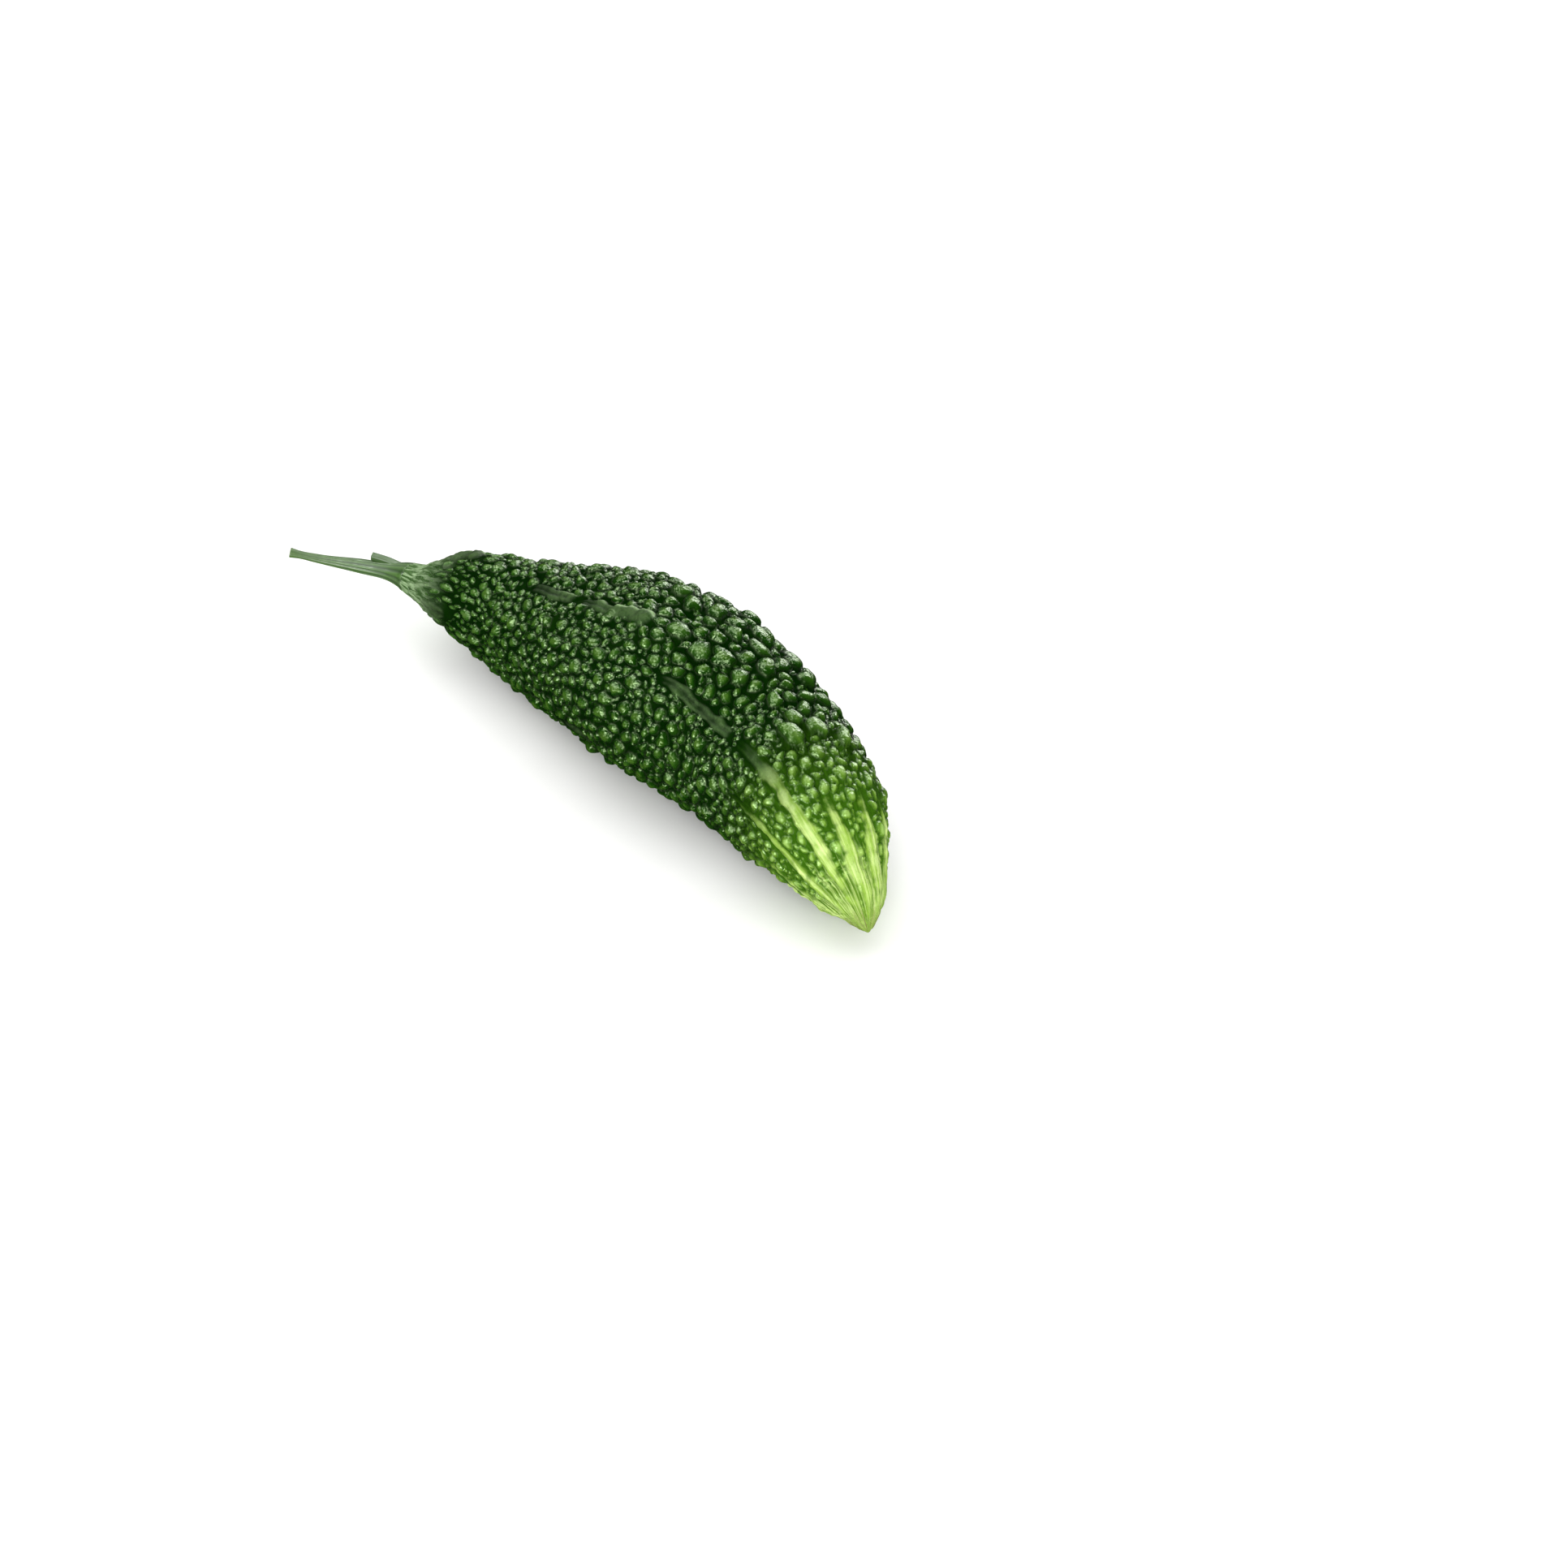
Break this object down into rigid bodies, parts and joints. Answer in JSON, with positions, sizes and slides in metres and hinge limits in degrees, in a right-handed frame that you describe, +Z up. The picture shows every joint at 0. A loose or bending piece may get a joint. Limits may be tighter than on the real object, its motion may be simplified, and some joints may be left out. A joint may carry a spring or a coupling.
{
  "type": "bitter gourd",
  "caption": "Picked bitter gourd with a warty, ridged rind, a bowed spindle shape, a pale blossom tip and its cut stem, lying on its side.",
  "frame": {"origin": "centre of the part's footprint, on the surface that it lies on", "axes": "+X along the fruit from the stem's cut end to the blossom tip, +Y towards the side that the fruit bows to, +Z up"},
  "size_m": [0.2584, 0.0734, 0.0608],
  "materials": {
    "rind": "waxy, glossy green rind, paler and yellower at the blossom tip",
    "stem": "matt grey-green ribbed stem"
  },
  "bodies": {
    "root": {"fruit": "rind", "stem": "stem"}
  },
  "joints": []
}
